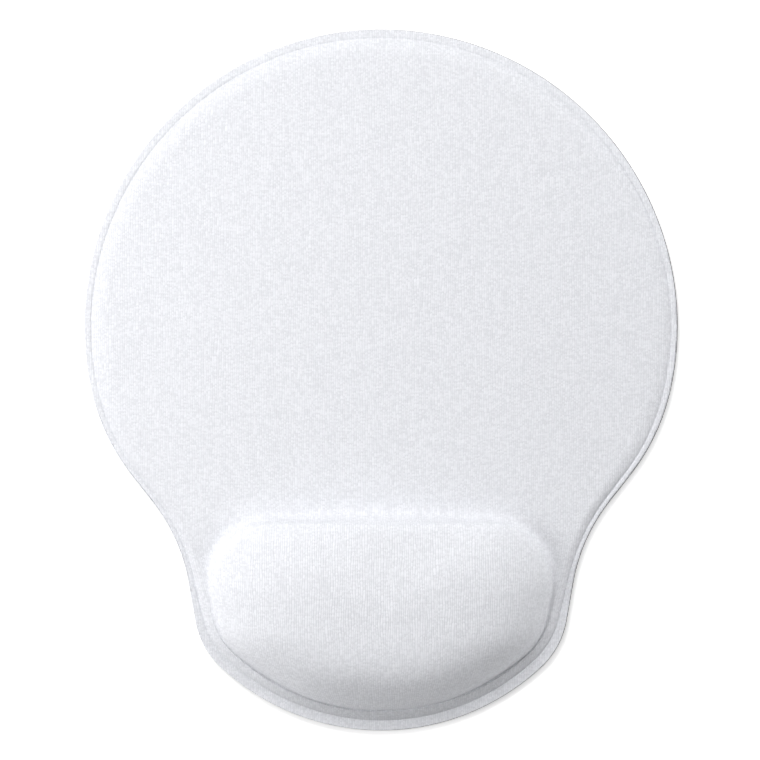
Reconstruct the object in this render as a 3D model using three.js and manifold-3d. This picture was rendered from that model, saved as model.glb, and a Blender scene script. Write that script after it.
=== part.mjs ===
// A desk mouse pad with a raised gel wrist rest along its front edge.
// Units are millimetres: +X is right, +Y is the far edge, +Z is up.
// The origin is on the desk, under the middle of the pad's bounding box.
//
// From the desk up it is a non-slip base, a sheet of adhesive, a foam core, the gel cushion in its
// film pouch, and a knitted cover that is pressed down to a flat rim around the whole edge.

import * as THREE from "three";
import { mergeVertices } from "three/addons/utils/BufferGeometryUtils.js";
import Module from "manifold-3d";

// ---- Driving dimensions ----

// Each outline is the right half, walked clockwise from the middle of its far side. A step is a straight
// of some length, or an arc of some radius that turns right by some degrees (left if negative). One more
// arc, centred on the middle line, closes the half at its near side.
const PAD_OUTLINE = [
  { radius: 110, turn: 102 }, // round head
  { radius: 79, turn: 26 }, // cheek
  { length: 13 },
  { radius: 67, turn: -28 }, // neck
  { length: 14.5 },
  { radius: 31, turn: 37 }, // front corner
];
const CUSHION_OUTLINE = [
  { length: 38 }, // half of the straight rear edge
  { radius: 25, turn: 100 }, // rear corner
  { length: 9.5 },
  { radius: 24, turn: 37 }, // front corner
];
const CUSHION_REAR_Y = -49.6;
const CREST = new THREE.Vector2(0, -80); // the cushion's highest point, from which it falls all round

// Pressed rim and the sloping shoulder inside it: each width is taken in from the edge, at some Y.
const RIM_STATIONS = [
  { y: 130, rim: 3.3, shoulder: 10.0 },
  { y: 0, rim: 2.6, shoulder: 9.0 },
  { y: -60, rim: 1.9, shoulder: 5.3 },
  { y: -108, rim: 3.9, shoulder: 6.9 },
  { y: -130, rim: 3.9, shoulder: 6.9 },
];

// Thicknesses, from the desk up.
const BASE_THICKNESS = 1.8;
const ADHESIVE_THICKNESS = 0.15;
const COVER_THICKNESS = 0.8;
const FILM_THICKNESS = 0.3;
const PAD_HEIGHT = 4.4; // the mousing surface
const CUSHION_RISE = 17.6; // the crest above the mousing surface
const CLEARANCE = 0.3; // between curved neighbours
const BASE_MARGIN = 0.35; // how far the base stands out past the cover

// The pouch and the gel, in from the cushion's foot.
const POUCH_INSET = 1.6;
const POUCH_WALL = 0.45; // the pouch's film, measured level on its steep sides
const GEL_INSET = POUCH_INSET + 2 * POUCH_WALL; // leaves as much again between the film and the gel
const PATCH_INSET = 3.6; // the adhesive under the pouch
const FILM_INSET = 0.6; // the cover's hot-melt film, in from the top of the shoulder

// The cushion's height falls from the crest as 1 - share ** sharpness, share being the way from the
// crest to the foot. The sharpness is highest at the steep rear wall and lowest at the sloping front.
const SIDE_SHARPNESS = 7.2;
const SHARPNESS_RATIO = 1.67;
const SHOULDER_SHARPNESS = 1.9; // the same for the shoulder, from its top to the rim

const HALF_STEPS = 48; // points along half of an outline
const OUTLINE_SAMPLES = 800; // close points along a path, to find where a ray crosses it
const CUSHION_SHARES = [0.4, 0.64, 0.82, 0.93, 1]; // of the way from the crest to the foot
const SHOULDER_SHARES = [0, 0.4, 0.72, 1]; // of the way from the shoulder's top to the rim

// ---- Levels ----

const COVER_FOOT = BASE_THICKNESS + ADHESIVE_THICKNESS;
const RIM_TOP = COVER_FOOT + COVER_THICKNESS;
const COVER_INSIDE = PAD_HEIGHT - COVER_THICKNESS;
const CORE_TOP = COVER_INSIDE - ADHESIVE_THICKNESS;
const CUSHION_TOP = PAD_HEIGHT + CUSHION_RISE;
const GEL_BOTTOM = COVER_INSIDE + FILM_THICKNESS;
const POUCH_TOP = CUSHION_TOP - COVER_THICKNESS - CLEARANCE;
const GEL_TOP = POUCH_TOP - FILM_THICKNESS - CLEARANCE;

// ---- Outlines ----

const radians = THREE.MathUtils.degToRad;

// The point at some distance from another, in some direction.
function offsetPoint(point, direction, distance) {
  return new THREE.Vector2(Math.cos(direction), Math.sin(direction)).multiplyScalar(distance).add(point);
}

// An outline's right half as a path of lines and tangent arcs, from the middle of its far side.
function halfPath(farY, steps) {
  const path = new THREE.Path();
  let at = new THREE.Vector2(0, farY);
  let heading = 0;
  const turnBy = (radius, angle) => {
    const side = Math.sign(angle);
    const spoke = heading + (side * Math.PI) / 2;
    const centre = offsetPoint(at, spoke, -radius);
    path.absarc(centre.x, centre.y, radius, spoke, spoke - angle, angle > 0);
    at = offsetPoint(centre, spoke - angle, radius);
    heading -= angle;
  };
  path.moveTo(at.x, at.y);
  for (const { length, radius, turn } of steps) {
    if (length) {
      at = offsetPoint(at, heading, length);
      path.lineTo(at.x, at.y);
    } else {
      turnBy(radius, radians(turn));
    }
  }
  const rest = Math.PI + heading;
  turnBy(at.x / Math.sin(rest), rest);
  return path;
}

// The whole outline, clockwise from the middle of its far side, with no point twice.
function mirrored(half) {
  const left = half
    .slice(1, -1)
    .reverse()
    .map((p) => new THREE.Vector2(-p.x, p.y));
  return [...half, ...left];
}

// Every point moved inwards by a distance, or by one that depends on the point.
function inset(outline, distance) {
  const count = outline.length;
  return outline.map((point, i) => {
    const along = outline[(i + 1) % count].clone().sub(outline[(i + count - 1) % count]).normalize();
    const inwards = new THREE.Vector2(along.y, -along.x);
    const by = typeof distance === "function" ? distance(point) : distance;
    return point.clone().addScaledVector(inwards, by);
  });
}

// Where rays from a centre, through each of the given points, cross a path's right half.
function rayPoints(path, centre, through) {
  const polar = path.getSpacedPoints(OUTLINE_SAMPLES).map((p) => p.clone().sub(centre));
  return through.map((point) => {
    const ray = point.clone().sub(centre).normalize();
    const before = polar.filter((p) => p.cross(ray) <= 0).length;
    const next = THREE.MathUtils.clamp(before, 1, OUTLINE_SAMPLES);
    const from = polar[next - 1];
    const edge = polar[next].clone().sub(from);
    return centre.clone().addScaledVector(ray, from.cross(edge) / ray.cross(edge));
  });
}

// A width of the rim or of the shoulder at some Y, eased from each station to the next.
function widthAt(y, name) {
  const next = Math.max(1, RIM_STATIONS.findIndex((station) => station.y <= y));
  const from = RIM_STATIONS[next - 1];
  const to = RIM_STATIONS[next];
  const share = THREE.MathUtils.smoothstep(from.y - y, 0, from.y - to.y);
  return THREE.MathUtils.lerp(from[name], to[name], share);
}

const padHalfFromZero = halfPath(0, PAD_OUTLINE);
const padMiddleY = padHalfFromZero.getPoint(1).y / 2;
const padHalf = halfPath(-padMiddleY, PAD_OUTLINE).getSpacedPoints(HALF_STEPS);
const cushionHalf = rayPoints(halfPath(CUSHION_REAR_Y, CUSHION_OUTLINE), CREST, padHalf);
const padEdge = mirrored(padHalf);
const cushionFoot = mirrored(cushionHalf);

// ---- Surfaces ----

const ringAt = (outline, z) => outline.map((p) => new THREE.Vector3(p.x, p.y, z));
const pointAt = (point, z) => ringAt([point], z);

// A closed solid skinned over rings of equal count. A ring of one point closes an end.
function skinned(rings) {
  const triangles = [];
  const count = Math.max(...rings.map((ring) => ring.length));
  for (let k = 1; k < rings.length; k += 1) {
    const a = rings[k - 1];
    const b = rings[k];
    for (let i = 0; i < count; i += 1) {
      const j = (i + 1) % count;
      if (b.length > 1) triangles.push(a[i % a.length], b[j], b[i]);
      if (a.length > 1) triangles.push(a[i], a[j], b[j % b.length]);
    }
  }
  return new THREE.BufferGeometry().setFromPoints(triangles);
}

// Rings of the sloping shoulder, from its top down to the rim, ever steeper.
// Both insets are functions of the point, because the rim's width changes along the edge.
function shoulderRings(topInset, footInset, footZ, topZ) {
  return SHOULDER_SHARES.map((share) => {
    const outline = inset(padEdge, (p) => THREE.MathUtils.lerp(topInset(p), footInset(p), share));
    return ringAt(outline, THREE.MathUtils.lerp(topZ, footZ, share ** SHOULDER_SHARPNESS));
  });
}

// Rings of the cushion's shape from its crest out to its foot, with the foot moved in from the outside.
function cushionRings(footInset, footZ, topZ) {
  const foot = inset(cushionFoot, footInset);
  const rings = CUSHION_SHARES.map((share) =>
    foot.map((point) => {
      const direction = point.clone().sub(CREST).angle();
      const sharpness = SIDE_SHARPNESS * SHARPNESS_RATIO ** Math.sin(direction);
      const at = CREST.clone().lerp(point, share);
      return new THREE.Vector3(at.x, at.y, THREE.MathUtils.lerp(topZ, footZ, share ** sharpness));
    }),
  );
  return [pointAt(CREST, topZ), ...rings];
}

// A flat sheet between two levels.
function sheet(outline, bottomZ, topZ) {
  const shape = new THREE.Shape(outline);
  const geometry = new THREE.ExtrudeGeometry(shape, { depth: topZ - bottomZ, bevelEnabled: false });
  return geometry.translate(0, 0, bottomZ);
}

// ---- Cutting ----

const wasm = await Module();
wasm.setup();

function toManifold(geometry) {
  const bare = geometry.clone();
  bare.deleteAttribute("normal");
  bare.deleteAttribute("uv");
  const merged = mergeVertices(bare);
  return new wasm.Manifold(
    new wasm.Mesh({
      numProp: 3,
      vertProperties: merged.attributes.position.array,
      triVerts: new Uint32Array(merged.index.array),
    }),
  );
}

function cut(geometry, tool) {
  const { vertProperties, triVerts } = toManifold(geometry).subtract(toManifold(tool)).getMesh();
  return new THREE.BufferGeometry()
    .setAttribute("position", new THREE.BufferAttribute(vertProperties, 3))
    .setIndex(new THREE.BufferAttribute(triVerts, 1));
}

// ---- Sub-parts, from the desk up ----

const rim = (p) => widthAt(p.y, "rim");
const shoulder = (p) => widthAt(p.y, "shoulder");
const deeper = (width, by) => (p) => width(p) + by;

function nonslipBase() {
  return sheet(padEdge, 0, BASE_THICKNESS);
}

function baseAdhesive() {
  return sheet(inset(padEdge, BASE_MARGIN), BASE_THICKNESS, COVER_FOOT);
}

// The foam sheet, with its edge sloped to carry the cover's shoulder.
function padCore() {
  const wall = COVER_THICKNESS + CLEARANCE;
  const side = shoulderRings(deeper(shoulder, CLEARANCE), deeper(rim, wall), COVER_FOOT, CORE_TOP);
  const middle = new THREE.Vector2();
  return skinned([pointAt(middle, CORE_TOP), ...side, pointAt(middle, COVER_FOOT)]);
}

// The hot-melt film that holds the cover to the foam on the mousing area, behind the cushion.
function coverFilm() {
  const flat = sheet(inset(padEdge, deeper(shoulder, FILM_INSET)), CORE_TOP, COVER_INSIDE);
  return cut(flat, sheet(inset(cushionFoot, -CLEARANCE), 0, PAD_HEIGHT));
}

function cushionAdhesive() {
  return sheet(inset(cushionFoot, PATCH_INSET), CORE_TOP, COVER_INSIDE);
}

function pouchBottomFilm() {
  return sheet(inset(cushionFoot, POUCH_INSET), COVER_INSIDE, GEL_BOTTOM);
}

function gelCore() {
  return skinned([...cushionRings(GEL_INSET, GEL_BOTTOM, GEL_TOP), pointAt(CREST, GEL_BOTTOM)]);
}

// The pouch's upper film, open below, where its edge is welded to the bottom film.
function pouchTopFilm() {
  const outside = cushionRings(POUCH_INSET, GEL_BOTTOM, POUCH_TOP);
  const inside = cushionRings(POUCH_INSET + POUCH_WALL, GEL_BOTTOM, POUCH_TOP - FILM_THICKNESS);
  return skinned([...outside, ...inside.reverse()]);
}

// The cover: cushion, mousing area, shoulder and rim outside, then back along the inside.
function knitCover() {
  const edge = inset(padEdge, BASE_MARGIN);
  const outside = [
    ...cushionRings(0, PAD_HEIGHT, CUSHION_TOP),
    ...shoulderRings(shoulder, rim, RIM_TOP, PAD_HEIGHT),
    ringAt(edge, RIM_TOP),
  ];
  const inside = [
    ...cushionRings(COVER_THICKNESS, COVER_INSIDE, CUSHION_TOP - COVER_THICKNESS),
    ...shoulderRings(shoulder, deeper(rim, COVER_THICKNESS), COVER_FOOT, COVER_INSIDE),
  ];
  return skinned([...outside, ringAt(edge, COVER_FOOT), ...inside.reverse()]);
}

// ---- Assembly ----

const charcoalRubber = { color: 0x2b2c2e, roughness: 0.85 };
const clearAdhesive = { color: 0xe9e6da, roughness: 0.4 };
const whiteFoam = { color: 0xdedfdd, roughness: 0.95 };
const clearFilm = { color: 0xdfe6ea, roughness: 0.25 };
const blueGel = { color: 0xa9cbe0, roughness: 0.2 };
const whiteKnit = { color: 0xeff0f4, roughness: 0.9 };

const SUB_PARTS = [
  ["nonslip_base", nonslipBase, charcoalRubber],
  ["base_adhesive", baseAdhesive, clearAdhesive],
  ["pad_core", padCore, whiteFoam],
  ["cover_film", coverFilm, clearAdhesive],
  ["cushion_adhesive", cushionAdhesive, clearAdhesive],
  ["pouch_bottom_film", pouchBottomFilm, clearFilm],
  ["gel_core", gelCore, blueGel],
  ["pouch_top_film", pouchTopFilm, clearFilm],
  ["knit_cover", knitCover, whiteKnit],
];

const group = new THREE.Group();
for (const [name, build, look] of SUB_PARTS) {
  const mesh = new THREE.Mesh(build(), new THREE.MeshStandardMaterial({ metalness: 0, ...look }));
  mesh.name = name;
  group.add(mesh);
}

export default group;
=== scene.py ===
"""Looks of a knit-covered mouse pad with a gel wrist rest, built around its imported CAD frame.

Outlines are arrays of complex numbers, x + iy in millimetres, and run clockwise seen from above.
"""

import math

import bpy
import numpy as np
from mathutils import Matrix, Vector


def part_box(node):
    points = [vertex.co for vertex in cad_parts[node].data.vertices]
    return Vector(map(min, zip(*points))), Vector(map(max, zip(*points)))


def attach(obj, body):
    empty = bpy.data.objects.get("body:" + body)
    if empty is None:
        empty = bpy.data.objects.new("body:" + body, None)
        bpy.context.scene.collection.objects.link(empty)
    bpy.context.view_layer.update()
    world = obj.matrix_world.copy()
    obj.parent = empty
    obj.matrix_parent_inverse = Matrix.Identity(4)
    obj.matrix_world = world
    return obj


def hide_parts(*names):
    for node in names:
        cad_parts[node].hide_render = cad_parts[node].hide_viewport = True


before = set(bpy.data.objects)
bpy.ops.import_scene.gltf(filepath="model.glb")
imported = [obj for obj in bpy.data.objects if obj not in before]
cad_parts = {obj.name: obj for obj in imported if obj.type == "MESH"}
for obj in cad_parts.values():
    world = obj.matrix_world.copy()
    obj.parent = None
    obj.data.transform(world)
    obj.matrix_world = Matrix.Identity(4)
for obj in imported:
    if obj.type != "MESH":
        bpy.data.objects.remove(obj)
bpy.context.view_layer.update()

MM = 0.001

# ---- Driving dimensions, in millimetres ----

# A step of an outline is a straight ("line", length) or an arc ("arc", radius, degrees to the
# right).
PAD_OUTLINE = [
    ("arc", 110, 102),
    ("arc", 79, 26),
    ("line", 13),
    ("arc", 67, -28),
    ("line", 14.5),
    ("arc", 31, 37),
]
CUSHION_OUTLINE = [("line", 40.5), ("arc", 22, 100), ("line", 9.5), ("arc", 24, 37)]
CUSHION_REAR_Y = -52.6
CREST = -90j  # the cushion's highest point, from which it falls all round

# Widths in from the pad's edge, at some Y: (y, pressed rim, end of the rounded shoulder).
RIM_STATIONS = [
    (-130, 3.9, 7.5),
    (-108, 3.9, 7.5),
    (-60, 1.9, 5.3),
    (0, 2.6, 9.0),
    (130, 3.3, 10.0),
]
SHOULDER_POWER = 1.9  # how the shoulder steepens towards the rim
FRONT_RAISE = 1.1  # how far the cushion's front foot stands above the mousing area

COVER_THICKNESS = 0.8
COVER_CORNER = 0.3  # radius of the cover's upper edge
COVER_LIFT = 0.1  # size of the small bevel at its foot
CLEARANCE = 0.3  # between curved layers
# The cushion's dome falls by a share of the height, by a power of the way out from its crest, and
# a ramp round its foot takes up the rest. Each is given for the front, the sides and the rear.
DOME_SHARE = (1, 1, 0.35)
DOME_POWER = (3.4, 5.4, 1.9)
RAMP_WIDTH = (2, 3, 7)
RAMP_POWER = 5
RAMP_FADE = (1, 0.6)  # shares of the way down the shoulder where the ramp is gone, and still whole
# How deep the dome's edge is rounded off away from the front, and over what distance.
BROW = (0.8, 1.5)
FOOT_CREASE = (0.6, 0.6)  # depth and half-width of the pressed line at the cushion's front foot
RIM_CREASE = (0.25, 0.4)  # the same where the shoulder meets the rim
# How far the base stands out past the cover, and what that gains to the right.
COVER_MARGIN = (0.2, 0.12)
LAMINATE_INSET = 0.1  # in from the cover's edge

# The pouch and its gel, in from the dome's foot.
POUCH_INSET = 1.6
POUCH_WALL = 0.4
GEL_INSET = 2.4

# Where round the cushion its front's own features come in, as the sine of the bearing from its
# crest.
FRONT_SPAN = (0.3, 0.7)
CREASE_SPAN = (0.2, 0.6)

# Fractions of the rim's width at which it gets a ring, closer together at the pressed line.
RIM_SHARES = (0.06, 0.13, 0.22, 0.35, 0.5, 0.65, 0.78, 0.88)
CORNER_TURNS = (0, 25, 50, 75, 90)  # degrees round the cover's upper edge

AROUND = 480  # points round each ring
HALF = AROUND // 2
ARC_POINTS = 400  # on each arc of an outline, before its points are spaced evenly
# Rings over the dome, the apron round it and the shoulder: of the cover's outside, and of its
# inside. The gel and its pouch have as many over their dome as the cover's inside.
OUTER_RINGS = (64, 40, 16)
INNER_RINGS = (24, 16, 6)
FOAM_RINGS = 12
DOME_CROWDING = 1.5  # how the dome's rings crowd towards its foot
# The apron has a near part, this share of its width or this many millimetres if that is less.
# In both parts the rings crowd towards the dome.
NEAR_APRON = (0.6, 13)
APRON_CROWDING = (1.3, 1.6)

# ---- Levels, from the frame ----


def level(node, end):
    """The height in millimetres of a CAD node's bottom (0) or top (1)."""
    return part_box(node)[end][2] / MM


BASE_TOP = level("nonslip_base", 1)
COVER_FOOT = level("knit_cover", 0)
CUSHION_TOP = level("knit_cover", 1)
COVER_INSIDE = level("cover_film", 1)
PAD_TOP = COVER_INSIDE + COVER_THICKNESS
RIM_TOP = COVER_FOOT + COVER_THICKNESS


# ---- Outlines ----


def half_outline(far_y, steps):
    """An outline's right half as close points, from the middle of its far side."""
    points, heading = [np.array([1j * far_y])], 0.0

    def arc(radius, angle):
        at = points[-1][-1]
        centre = at - 1j * math.copysign(radius, angle) * np.exp(1j * heading)
        share = np.linspace(0, 1, ARC_POINTS)[1:]
        points.append(centre + (at - centre) * np.exp(-1j * angle * share))
        return heading - angle

    for kind, *sizes in steps:
        if kind == "line":
            points.append(points[-1][-1:] + sizes[0] * np.exp(1j * heading))
        else:
            heading = arc(sizes[0], math.radians(sizes[1]))
    rest = math.pi + heading
    heading = arc(points[-1][-1].real / math.sin(rest), rest)
    return np.concatenate(points)


def spaced(line, count):
    """Points at even steps along a line, both ends included."""
    run = np.concatenate([[0], np.cumsum(abs(np.diff(line)))])
    at = np.linspace(0, run[-1], count + 1)
    return np.interp(at, run, line.real) + 1j * np.interp(at, run, line.imag)


def mirrored(half):
    """The whole outline, with no point twice."""
    return np.concatenate([half, -np.conj(half[-2:0:-1])])


def outward(outline):
    """The unit normals of an outline, pointing out."""
    along = np.roll(outline, -1) - np.roll(outline, 1)
    return 1j * along / abs(along)


def inset(outline, by):
    return outline - outward(outline) * by


def smoothstep(low, high, x):
    t = np.clip((x - low) / (high - low), 0, 1)
    return t * t * (3 - 2 * t)


def width_at(y, which):
    """The rim's (1) or the shoulder's (2) width at some Y, eased between the stations."""
    total = np.full(np.shape(y), float(RIM_STATIONS[0][which]))
    for near, far in zip(RIM_STATIONS, RIM_STATIONS[1:]):
        total += (far[which] - near[which]) * smoothstep(near[0], far[0], y)
    return total


def seen_from_crest(line, through):
    """Where rays from the crest, through each of the given points, cross a line."""
    ray, wanted = line - CREST, np.angle(through - CREST)
    return CREST + np.exp(1j * wanted) * np.interp(-wanted, -np.angle(ray), abs(ray))


drawn = half_outline(0, PAD_OUTLINE)
pad_half = spaced(half_outline(-drawn[-1].imag / 2, PAD_OUTLINE), HALF)
pad_edge = mirrored(pad_half)
cushion_half = spaced(half_outline(CUSHION_REAR_Y, CUSHION_OUTLINE), 10 * HALF)
cushion_foot = mirrored(seen_from_crest(cushion_half, pad_half))
rim_width = width_at(pad_edge.imag, 1)
shoulder_width = width_at(pad_edge.imag, 2)
bearing = np.sin(np.angle(pad_edge - CREST))
foot_line = mirrored(cushion_half)
at_front = smoothstep(*FRONT_SPAN, -bearing)
front_raise = FRONT_RAISE * at_front


def by_bearing(values, at):
    """Blends the front's, the sides' and the rear's value, for points seen from the crest."""
    front, side, rear = values
    t = (1 + np.sin(np.angle(at - CREST))) / 2
    return front * (1 - t) ** 2 + 2 * side * t * (1 - t) + rear * t**2


# ---- Rings: each is (outline, heights) ----


def crease(distance, size, strength=1.0):
    """How far a pressed line lowers a surface at some distance from it."""
    depth, half_width = size
    return strength * depth * np.exp(-((distance / half_width) ** 2))


def edge_drop(distance, creased):
    """What rounds off the dome's edge, and at the front presses a line there instead."""
    drop = crease(distance, BROW, 1 - at_front)
    if creased:
        drop = drop + crease(distance, FOOT_CREASE, smoothstep(*CREASE_SPAN, -bearing))
    return drop


def away_from(foot, at):
    """How far points lie outside the cushion's foot, square to it."""
    return (np.conj(at - foot) * outward(foot)).real


def ramp(rise, at):
    """The height of the concave ramp that runs down from the dome's foot all round."""
    nearest = foot_line[np.argmin(abs(at[:, None] - foot_line[None, :]), axis=1)]
    share = np.clip(1 - abs(at - nearest) / by_bearing(RAMP_WIDTH, nearest), 0, 1)
    return rise * (1 - by_bearing(DOME_SHARE, nearest)) * share**RAMP_POWER


def cushion_rings(foot, flat_z, top_z, count, creased=False):
    """The dome, from near the crest to its foot."""
    foot_z = flat_z + front_raise
    reach = -away_from(foot, np.full(AROUND, CREST))
    drop = (top_z - foot_z) * by_bearing(DOME_SHARE, foot)
    power = by_bearing(DOME_POWER, foot)
    rings = []
    for t in np.linspace(0, 1, count + 1)[1:]:
        share = 1 - (1 - t) ** DOME_CROWDING
        z = top_z - drop * share**power - edge_drop((1 - share) * reach, creased)
        rings.append((CREST + (foot - CREST) * share, z))
    return rings


def apron_rings(foot, end, flat_z, top_z, count, creased=False):
    """From the dome's foot out to the shoulder, down the ramp."""
    foot_z = flat_z + front_raise
    total = abs(end - foot)
    near = np.minimum(NEAR_APRON[0] * total, NEAR_APRON[1])
    near_power, far_power = APRON_CROWDING
    rings = []
    for t in np.linspace(-1, 1, count + 1)[1:]:
        run = near * (t + 1) ** near_power if t < 0 else near + (total - near) * t**far_power
        at = foot + (end - foot) * run / total
        z = foot_z + ramp(top_z - foot_z, at) - edge_drop(away_from(foot, at), creased)
        rings.append((at, z))
    return rings


def shoulder_rings(rise, top_width, foot_width, flat_z, foot_z, count, creased=False):
    """Down to the rim, ever steeper; the same slope all the way at the cushion's front."""
    drop = flat_z + front_raise - foot_z
    power = SHOULDER_POWER + (1 - SHOULDER_POWER) * at_front
    rings = []
    for t in np.linspace(0, 1, count + 1)[1:]:
        width = top_width + (foot_width - top_width) * t
        at = inset(pad_edge, width)
        z = foot_z + drop * (1 - t**power) + ramp(rise, at) * smoothstep(*RAMP_FADE, t)
        if creased:
            z = z - crease(width - foot_width, RIM_CREASE)
        rings.append((at, z))
    return rings


def flat_ring(outline, z):
    return (outline, np.full(len(outline), float(z)))


# ---- Meshes ----


def skin(name, rings, start=None, end=None):
    """A mesh over rings of equal count, closed at either end by a point (outline, z)."""
    count = len(rings[0][0])
    points = [np.column_stack([o.real, o.imag, z]) for o, z in rings]
    faces = []
    here = np.arange(count)
    after = np.roll(here, -1)
    for k in range(len(rings) - 1):
        a, b = k * count, (k + 1) * count
        faces += np.column_stack([a + here, a + after, b + after, b + here]).tolist()
    total = len(rings) * count
    for tip, ring, order in ((start, 0, 1), (end, len(rings) - 1, -1)):
        if tip is not None:
            points.append(np.array([[tip[0].real, tip[0].imag, tip[1]]]))
            first = ring * count
            fan = np.column_stack([np.full(count, total), first + after, first + here])
            faces += fan[:, ::order].tolist()
            total += 1
    mesh = bpy.data.meshes.new(name)
    mesh.from_pydata((np.concatenate(points) * MM).tolist(), [], faces)
    mesh.shade_smooth()
    mesh.update()
    piece = bpy.data.objects.new(name, mesh)
    bpy.context.scene.collection.objects.link(piece)
    return piece


def place(piece, node, material):
    """Puts a piece in the frame, in place of a CAD node."""
    piece.data.materials.append(material)
    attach(piece, "root")
    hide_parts(node)
    return piece


# ---- Materials ----


class Graph:
    """Short ways to add nodes to a material."""

    def __init__(self, name):
        self.material = bpy.data.materials.new(name)
        self.material.use_nodes = True
        self.tree = self.material.node_tree
        self.shader = self.tree.nodes["Principled BSDF"]

    def add(self, kind, **values):
        node = self.tree.nodes.new(kind)
        for key, value in values.items():
            setattr(node, key, value)
        return node

    def feed(self, socket, value):
        if isinstance(value, bpy.types.NodeSocket):
            self.tree.links.new(value, socket)
        else:
            socket.default_value = value

    def math(self, operation, a, b=0.0, clamp=False):
        node = self.add("ShaderNodeMath", operation=operation, use_clamp=clamp)
        self.feed(node.inputs[0], a)
        self.feed(node.inputs[1], b)
        return node.outputs[0]

    def scaled(self, vector, factors):
        node = self.add("ShaderNodeVectorMath", operation="MULTIPLY")
        self.feed(node.inputs[0], vector)
        self.feed(node.inputs[1], factors)
        return node.outputs[0]

    def noise(self, vector, scale, detail=2.0, roughness=0.5):
        node = self.add("ShaderNodeTexNoise")
        self.feed(node.inputs["Vector"], vector)
        node.inputs["Scale"].default_value = scale
        node.inputs["Detail"].default_value = detail
        node.inputs["Roughness"].default_value = roughness
        return node.outputs["Fac"]

    def between(self, factor, dark, light):
        node = self.add("ShaderNodeMix", data_type="RGBA")
        self.feed(node.inputs["Factor"], factor)
        self.feed(node.inputs["A"], (*dark, 1))
        self.feed(node.inputs["B"], (*light, 1))
        return node.outputs["Result"]

    def bump(self, height, distance, strength=1.0):
        node = self.add("ShaderNodeBump")
        node.inputs["Strength"].default_value = strength
        node.inputs["Distance"].default_value = distance
        self.feed(node.inputs["Height"], height)
        return node.outputs["Normal"]

    def set(self, **values):
        for key, value in values.items():
            self.feed(self.shader.inputs[key.replace("_", " ")], value)


KNIT_DARK = (0.66, 0.67, 0.705)
KNIT_LIGHT = (0.90, 0.91, 0.95)
WALE = 0.00083  # between the lengthwise ribs of the knit, in metres
COURSE = 0.00062  # between its stitches, along a rib
RIB_DRIFT = 2.2  # how many ribs' widths the ribs wander sideways
# What each part of the knit adds to its tone, which runs from dark (0) to light (1).
STITCH_TONE = 0.5
MOTTLE_TONE = 0.08
# painted shade: the grooves between the ribs darker, their crests lighter
RIB_SHADE_TONE = 0.33
FUZZ_TONE = 0.5
# painted shade between the ribs, made stronger where the knit is pulled
PULLED_RIB_SHADE_TONE = 0.72  # the ribs' gain where the knit is pulled, at its strongest
TONE_OFFSET = 0.255
MEAN_RIB = 2 / math.pi


def knit_material():
    """Fine jersey in cool white: ribs along Y, each a column of V-shaped stitches.

    No two stitches catch the light alike, so each has a tone of its own. Its ribs have painted
    shade, darker in the grooves and lighter on the crests, and where the knit is pulled over the
    cushion that painted shade is stronger, more in some patches than in others.
    """
    g = Graph("white_knit")
    cloth = g.add("ShaderNodeAttribute", attribute_name="knit").outputs["Vector"]
    stretch = g.add("ShaderNodeAttribute", attribute_name="stretch").outputs["Fac"]
    drift = g.noise(g.scaled(cloth, (1, 0.25, 1)), 300, 2)
    parts = g.add("ShaderNodeSeparateXYZ")
    g.feed(parts.inputs[0], cloth)
    wander = g.math("MULTIPLY", drift, RIB_DRIFT)
    u = g.math("ADD", g.math("DIVIDE", parts.outputs["X"], WALE), wander)
    across = g.math("ABSOLUTE", g.math("SUBTRACT", g.math("FRACT", u), 0.5))  # 0.5 in the groove
    v = g.math("ADD", g.math("DIVIDE", parts.outputs["Y"], COURSE), g.math("ADD", across, drift))
    rib = g.math("SINE", g.math("MULTIPLY", g.math("SUBTRACT", 0.5, across), math.pi))
    stitch = g.math("SINE", g.math("MULTIPLY", v, 2 * math.pi))
    cell = g.add("ShaderNodeCombineXYZ")
    g.feed(cell.inputs["X"], g.math("FLOOR", u))
    g.feed(cell.inputs["Y"], g.math("FLOOR", v))
    chance = g.add("ShaderNodeTexWhiteNoise", noise_dimensions="2D")
    g.feed(chance.inputs["Vector"], cell.outputs[0])
    fuzz = g.noise(cloth, 2000, 3, 0.6)
    mottle = g.noise(cloth, 120, 3)
    height = g.math("MULTIPLY", rib, g.math("ADD", 0.8, g.math("MULTIPLY", stitch, 0.2)))
    height = g.math("ADD", height, g.math("MULTIPLY", fuzz, 0.8))
    tone = g.math("MULTIPLY", chance.outputs["Value"], STITCH_TONE)
    tone = g.math("ADD", tone, g.math("MULTIPLY", mottle, MOTTLE_TONE))
    # Painted shade: the grooves between the ribs darker, their crests lighter.
    tone = g.math("ADD", tone, g.math("MULTIPLY", rib, RIB_SHADE_TONE))
    # Painted shade between the ribs, stronger where the knit is pulled, in patches.
    patches = g.math("MULTIPLY", g.noise(cloth, 500, 2), PULLED_RIB_SHADE_TONE)
    pulled = g.math("MULTIPLY", stretch, patches)
    tone = g.math("ADD", tone, g.math("MULTIPLY", g.math("SUBTRACT", rib, MEAN_RIB), pulled))
    tone = g.math("ADD", tone, g.math("MULTIPLY", fuzz, FUZZ_TONE))
    tone = g.math("SUBTRACT", tone, TONE_OFFSET, clamp=True)
    g.set(
        Base_Color=g.between(tone, KNIT_DARK, KNIT_LIGHT),
        Roughness=0.95,
        Specular_IOR_Level=0.2,
        Sheen_Weight=0.15,
        Sheen_Roughness=0.5,
        Normal=g.bump(height, 0.00012, 0.6),
    )
    return g.material


GRIP_PITCH = 0.0018  # between the studs of the base's grip pattern, in metres


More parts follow.
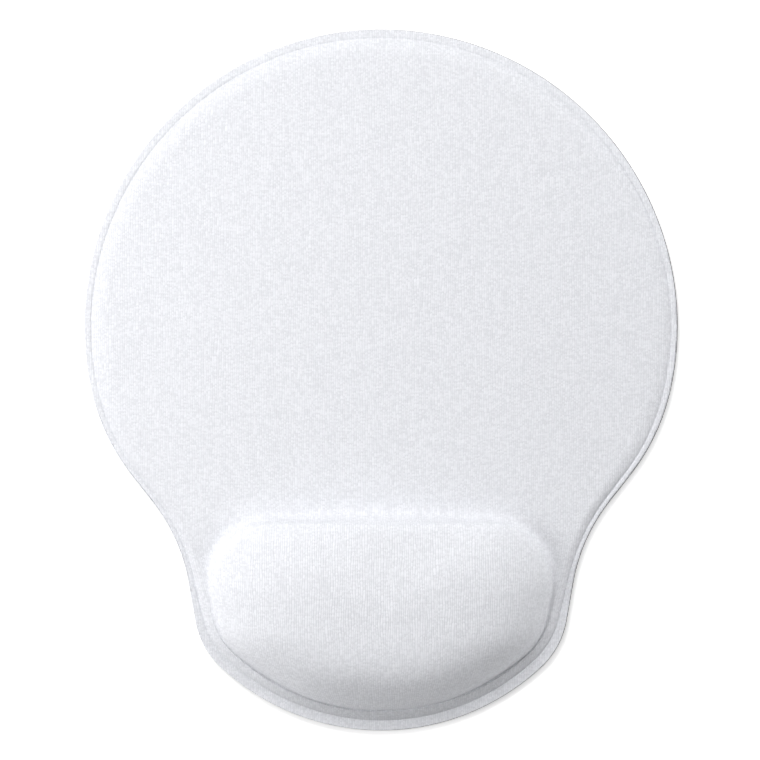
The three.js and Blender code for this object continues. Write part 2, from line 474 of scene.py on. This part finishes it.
def rubber_material():
    """Matt charcoal rubber with a fine pebbled skin, embossed with rows of small round studs."""
    g = Graph("charcoal_rubber")
    at = g.add("ShaderNodeTexCoord").outputs["Object"]
    grain = g.noise(at, 1800, 4, 0.6)
    bloom = g.noise(at, 35, 3)
    parts = g.add("ShaderNodeSeparateXYZ")
    g.feed(parts.inputs[0], at)
    turn = 2 * math.pi / GRIP_PITCH
    rows = g.math("COSINE", g.math("MULTIPLY", parts.outputs["X"], turn))
    columns = g.math("COSINE", g.math("MULTIPLY", parts.outputs["Y"], turn))
    studs = g.math("SMOOTH_MAX", g.math("ADD", rows, columns), 0)
    height = g.math("ADD", studs, g.math("MULTIPLY", grain, 0.4))
    g.set(
        Base_Color=g.between(bloom, (0.018, 0.019, 0.021), (0.034, 0.035, 0.038)),
        Roughness=g.math("ADD", 0.66, g.math("MULTIPLY", grain, 0.3)),
        Normal=g.bump(height, 0.00015, 0.6),
    )
    return g.material


def foam_material():
    """White closed-cell foam: small round cells."""
    g = Graph("white_foam")
    at = g.add("ShaderNodeTexCoord").outputs["Object"]
    cells = g.add("ShaderNodeTexVoronoi")
    g.feed(cells.inputs["Vector"], at)
    cells.inputs["Scale"].default_value = 2200
    g.set(
        Base_Color=g.between(cells.outputs["Distance"], (0.80, 0.80, 0.78), (0.68, 0.68, 0.66)),
        Roughness=0.9,
        Normal=g.bump(cells.outputs["Distance"], 0.0001, 0.6),
    )
    return g.material


def gel_material():
    """Soft translucent blue gel with small clouds in it."""
    g = Graph("blue_gel")
    at = g.add("ShaderNodeTexCoord").outputs["Object"]
    clouds = g.noise(at, 90, 3)
    g.set(
        Base_Color=g.between(clouds, (0.36, 0.56, 0.72), (0.46, 0.66, 0.80)),
        Roughness=g.math("ADD", 0.14, g.math("MULTIPLY", clouds, 0.16)),
        Subsurface_Weight=0.4,
        Subsurface_Scale=0.004,
    )
    return g.material


def film_material(name, dark, light):
    """Thin soft film with faint wrinkles."""
    g = Graph(name)
    at = g.add("ShaderNodeTexCoord").outputs["Object"]
    wrinkles = g.noise(at, 300, 4, 0.6)
    g.set(
        Base_Color=g.between(wrinkles, dark, light),
        Roughness=g.math("ADD", 0.2, g.math("MULTIPLY", wrinkles, 0.2)),
        Normal=g.bump(wrinkles, 0.0001, 0.4),
    )
    return g.material


# ---- Cover ----


def cover_edge():
    """The cover is cut a little inside the base, and sits slightly to the left on it."""
    margin, gain = COVER_MARGIN
    return inset(pad_edge, margin + gain * pad_edge.real / pad_edge.real.max())


# The pull only sets where the painted shade between the knit's ribs is stronger.
# Where the knit is pulled: by the share of the cushion's height, and by Y in millimetres at its
# front.
PULLED_HEIGHT = (0.4, 0.75)
PULLED_Y = (-108, -84)
# Where the ribs stop following the side slopes, as the sine of the bearing.
SIDEWAYS_SPAN = (0.05, 0.4)


def store_knit(piece, rings, start):
    """Stores each point's place on the flat cloth, in metres, and how far the knit is pulled there.

    The pull runs from 0 to 1. Ribs run along Y. The cloth is followed down the slopes, so that
    nearly all stitches stay within a fifth of their size.
    """
    outlines = np.array([np.full(AROUND, CREST)] + [o for o, _ in rings])
    heights = np.array([np.full(AROUND, start[1])] + [z for _, z in rings])
    flat = abs(np.diff(outlines, axis=0))
    extra = np.cumsum(np.hypot(flat, np.diff(heights, axis=0)) - flat, axis=0)
    ray = np.exp(1j * np.angle(pad_edge - CREST))
    sideways = 1 - smoothstep(*SIDEWAYS_SPAN, ray.imag)
    x = outlines[1:].real + extra * ray.real * sideways
    y = outlines[1:].imag + extra * ray.imag
    places = np.zeros((len(piece.data.vertices), 3))
    count = x.size
    places[:count, 0] = x.ravel() * MM
    places[:count, 1] = y.ravel() * MM
    places[count:, 1] = CREST.imag * MM
    # The pull only sets where the painted shade between the knit's ribs is stronger.
    stretch = np.ones(len(places))
    raised = smoothstep(*PULLED_HEIGHT, (heights[1:] - PAD_TOP) / (CUSHION_TOP - PAD_TOP))
    stretch[:count] = (raised * smoothstep(*PULLED_Y, outlines[1:].imag)).ravel()
    attributes = piece.data.attributes
    attributes.new("knit", "FLOAT_VECTOR", "POINT").data.foreach_set("vector", places.ravel())
    attributes.new("stretch", "FLOAT", "POINT").data.foreach_set("value", stretch)


def knit_cover():
    edge = cover_edge()
    shoulder_end = inset(pad_edge, shoulder_width)
    rise = CUSHION_TOP - PAD_TOP
    dome, apron, shoulder = OUTER_RINGS
    rings = cushion_rings(cushion_foot, PAD_TOP, CUSHION_TOP, dome, creased=True)
    rings += apron_rings(cushion_foot, shoulder_end, PAD_TOP, CUSHION_TOP, apron, creased=True)
    rings += shoulder_rings(
        rise, shoulder_width, rim_width, PAD_TOP, RIM_TOP, shoulder, creased=True
    )
    rim_line = inset(pad_edge, rim_width)
    for share in RIM_SHARES:
        z = RIM_TOP - crease(share * rim_width, RIM_CREASE)
        rings.append((rim_line + (edge - rim_line) * share, z))
    for turn in np.radians(CORNER_TURNS):
        drop = COVER_CORNER * (1 - math.cos(turn))
        rings.append(flat_ring(inset(edge, COVER_CORNER * (1 - math.sin(turn))), RIM_TOP - drop))
    rings.append(flat_ring(edge, COVER_FOOT + COVER_LIFT))
    rings.append(flat_ring(inset(edge, COVER_LIFT), COVER_FOOT))

    inner_foot = inset(cushion_foot, COVER_THICKNESS)
    inner_top = CUSHION_TOP - COVER_THICKNESS
    dome, apron, shoulder = INNER_RINGS
    inside = cushion_rings(inner_foot, COVER_INSIDE, inner_top, dome)
    inside += apron_rings(inner_foot, shoulder_end, COVER_INSIDE, inner_top, apron)
    inner_rim = rim_width + COVER_THICKNESS
    inside += shoulder_rings(rise, shoulder_width, inner_rim, COVER_INSIDE, COVER_FOOT, shoulder)
    rings += inside[::-1]
    start, end = (CREST, CUSHION_TOP), (CREST, inner_top)
    piece = skin("knit_cover_cloth", rings, start, end)
    store_knit(piece, rings, start)
    return piece


# ---- Layers under the cover ----


def plate(name, outline, bottom, top, centre=0j, soften=0.1):
    """A flat layer with slightly rounded edges."""
    rings = [
        flat_ring(inset(outline, soften), top),
        flat_ring(outline, top - soften),
        flat_ring(outline, bottom + soften),
        flat_ring(inset(outline, soften), bottom),
    ]
    return skin(name, rings, (centre, top), (centre, bottom))


def pouch_rings(inward, bottom, top):
    """The filled pouch: a slightly smaller dome, then straight down where the cover has a ramp."""
    foot = inset(cushion_foot, inward)
    rings = cushion_rings(foot, bottom, top, INNER_RINGS[0])
    brow = rings[-1][1]
    rings += [(foot, brow + (bottom - brow) * share) for share in (0.2, 0.4, 0.6, 0.8, 1)]
    return rings


def gel_cushion():
    bottom, top = level("gel_core", 0), level("gel_core", 1)
    rings = pouch_rings(GEL_INSET, bottom, top)
    return skin("gel_cushion", rings, (CREST, top), (CREST, bottom))


def pouch_film():
    bottom, top = level("pouch_top_film", 0), level("pouch_top_film", 1)
    inner_top = level("gel_core", 1) + CLEARANCE
    outside = pouch_rings(POUCH_INSET, bottom, top)
    inside = pouch_rings(POUCH_INSET + POUCH_WALL, bottom, inner_top)
    return skin("pouch_film", outside + inside[::-1], (CREST, top), (CREST, inner_top))


def foam_core():
    """The foam, with its edge sloped to carry the cover's shoulder."""
    top_width = shoulder_width + CLEARANCE
    foot_width = rim_width + COVER_THICKNESS + CLEARANCE
    bottom, top = level("pad_core", 0), level("pad_core", 1)
    rings = [flat_ring(inset(pad_edge, top_width), top)]
    rings += shoulder_rings(0, top_width, foot_width, top, bottom, FOAM_RINGS)
    return skin("foam_core", rings, (0j, top), (0j, bottom))


# ---- Stage ----


# The floor, and the wall it curves up into, as (radius, height) in metres.
FLOOR = [(0.2, 0), (1, 0), (5, 0)]
WALL = [(5, 0), (5.6, 0.1), (5.9, 0.4), (6, 1.4)]
GLOW = (0.46, 1.0)  # the floor's own light round the pad, and far off
GLOW_REACH = (0.25, 0.8)  # where it changes from one to the other, in metres from the pad


def make_backdrop():
    """A pale floor that curves up into a low wall all round and shows as white.

    The wall is seen by the camera alone, so it doesn't light the pad.
    """
    g = Graph("pale_backdrop")
    at = g.add("ShaderNodeTexCoord").outputs["Object"]
    far = g.add("ShaderNodeVectorMath", operation="LENGTH")
    g.feed(far.inputs[0], at)
    glow = g.add("ShaderNodeMapRange")
    g.feed(glow.inputs["Value"], far.outputs["Value"])
    for name, value in zip(("From Min", "From Max", "To Min", "To Max"), (*GLOW_REACH, *GLOW)):
        glow.inputs[name].default_value = value
    g.set(
        Base_Color=g.between(g.noise(at, 3, 2), (0.93, 0.93, 0.93), (0.95, 0.95, 0.95)),
        Roughness=0.8,
        Specular_IOR_Level=0.1,
        Emission_Color=(1, 1, 1, 1),
        Emission_Strength=glow.outputs["Result"],
    )
    circle = mirrored(1j * np.exp(-1j * np.linspace(0, math.pi, 61))) / MM
    for name, profile, tip in (("floor", FLOOR, (0j, 0)), ("wall", WALL, None)):
        rings = [flat_ring(circle * radius, height / MM) for radius, height in profile]
        part = skin(name, rings, tip)
        part.data.materials.append(g.material)
        part.visible_diffuse = name == "floor"
        part.visible_glossy = name == "floor"


SOFTBOX_SPREAD = 0.45  # each softbox's side, as a share of its distance
# Each softbox's name, azimuth (0 right, 90 to the rear) and elevation in degrees, distance in
# metres, and watts.
SOFTBOXES = [
    ("rear_left_softbox", 115, 45, 1.0, 7.35),
    ("rear_right_softbox", 60, 35, 1.5, 4.2),
    ("left_softbox", 190, 35, 0.6, 1.65),
    ("right_softbox", 0, 20, 0.8, 2.5),
    ("front_left_softbox", 230, 30, 0.8, 0.95),
]


def softbox(name, azimuth, elevation, distance, watts):
    """A square soft light aimed at the middle of the pad."""
    data = bpy.data.lights.new(name, "AREA")
    data.shape = "SQUARE"
    data.size = SOFTBOX_SPREAD * distance
    data.energy = watts
    lamp = bpy.data.objects.new(name, data)
    turn, tilt = math.radians(azimuth), math.radians(elevation)
    out = distance * math.cos(tilt)
    lamp.location = (out * math.cos(turn), out * math.sin(turn), distance * math.sin(tilt))
    lamp.rotation_euler = (-lamp.location).to_track_quat("-Z", "Y").to_euler()
    lamp.visible_camera = False
    bpy.context.scene.collection.objects.link(lamp)


def make_lights():
    for settings in SOFTBOXES:
        softbox(*settings)
    world = bpy.data.worlds.new("studio")
    bpy.context.scene.world = world
    world.use_nodes = True
    world.node_tree.nodes["Background"].inputs["Strength"].default_value = 0


LENS = 100  # millimetres
SENSOR_WIDTH = 36
PAD_WIDTH = 0.220  # metres
PAD_SHARE = 0.7816  # of the frame's width, at the rim
CAMERA_X = -0.0004


def make_camera():
    """Straight above, so that the pad fills the frame as it lies."""
    data = bpy.data.cameras.new("camera")
    data.lens = LENS
    data.sensor_width = SENSOR_WIDTH
    distance = PAD_WIDTH / PAD_SHARE * data.lens / data.sensor_width
    camera = bpy.data.objects.new("camera", data)
    camera.location = (CAMERA_X, 0, distance + RIM_TOP * MM)
    bpy.context.scene.collection.objects.link(camera)
    bpy.context.scene.camera = camera


# ---- Assembly ----

knit = knit_material()
rubber = rubber_material()
adhesive = film_material("clear_adhesive", (0.66, 0.64, 0.56), (0.76, 0.74, 0.66))
film = film_material("pouch_film", (0.62, 0.68, 0.72), (0.74, 0.79, 0.82))

cover = place(knit_cover(), "knit_cover", knit)
place(plate("rubber_base", pad_edge, 0, BASE_TOP), "nonslip_base", rubber)
laminate_edge = inset(cover_edge(), LAMINATE_INSET)
laminate = plate("base_laminate", laminate_edge, BASE_TOP, COVER_FOOT, soften=0.02)
place(laminate, "base_adhesive", adhesive)
core = place(foam_core(), "pad_core", foam_material())
gel = place(gel_cushion(), "gel_core", gel_material())
place(pouch_film(), "pouch_top_film", film)
kept_nodes = {"cover_film": adhesive, "cushion_adhesive": adhesive, "pouch_bottom_film": film}
for node, material in kept_nodes.items():
    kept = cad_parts[node]
    kept.data.materials.clear()
    kept.data.materials.append(material)

make_backdrop()
make_lights()
make_camera()

scene = bpy.context.scene
scene.view_settings.view_transform = "Standard"
scene.view_settings.look = "None"
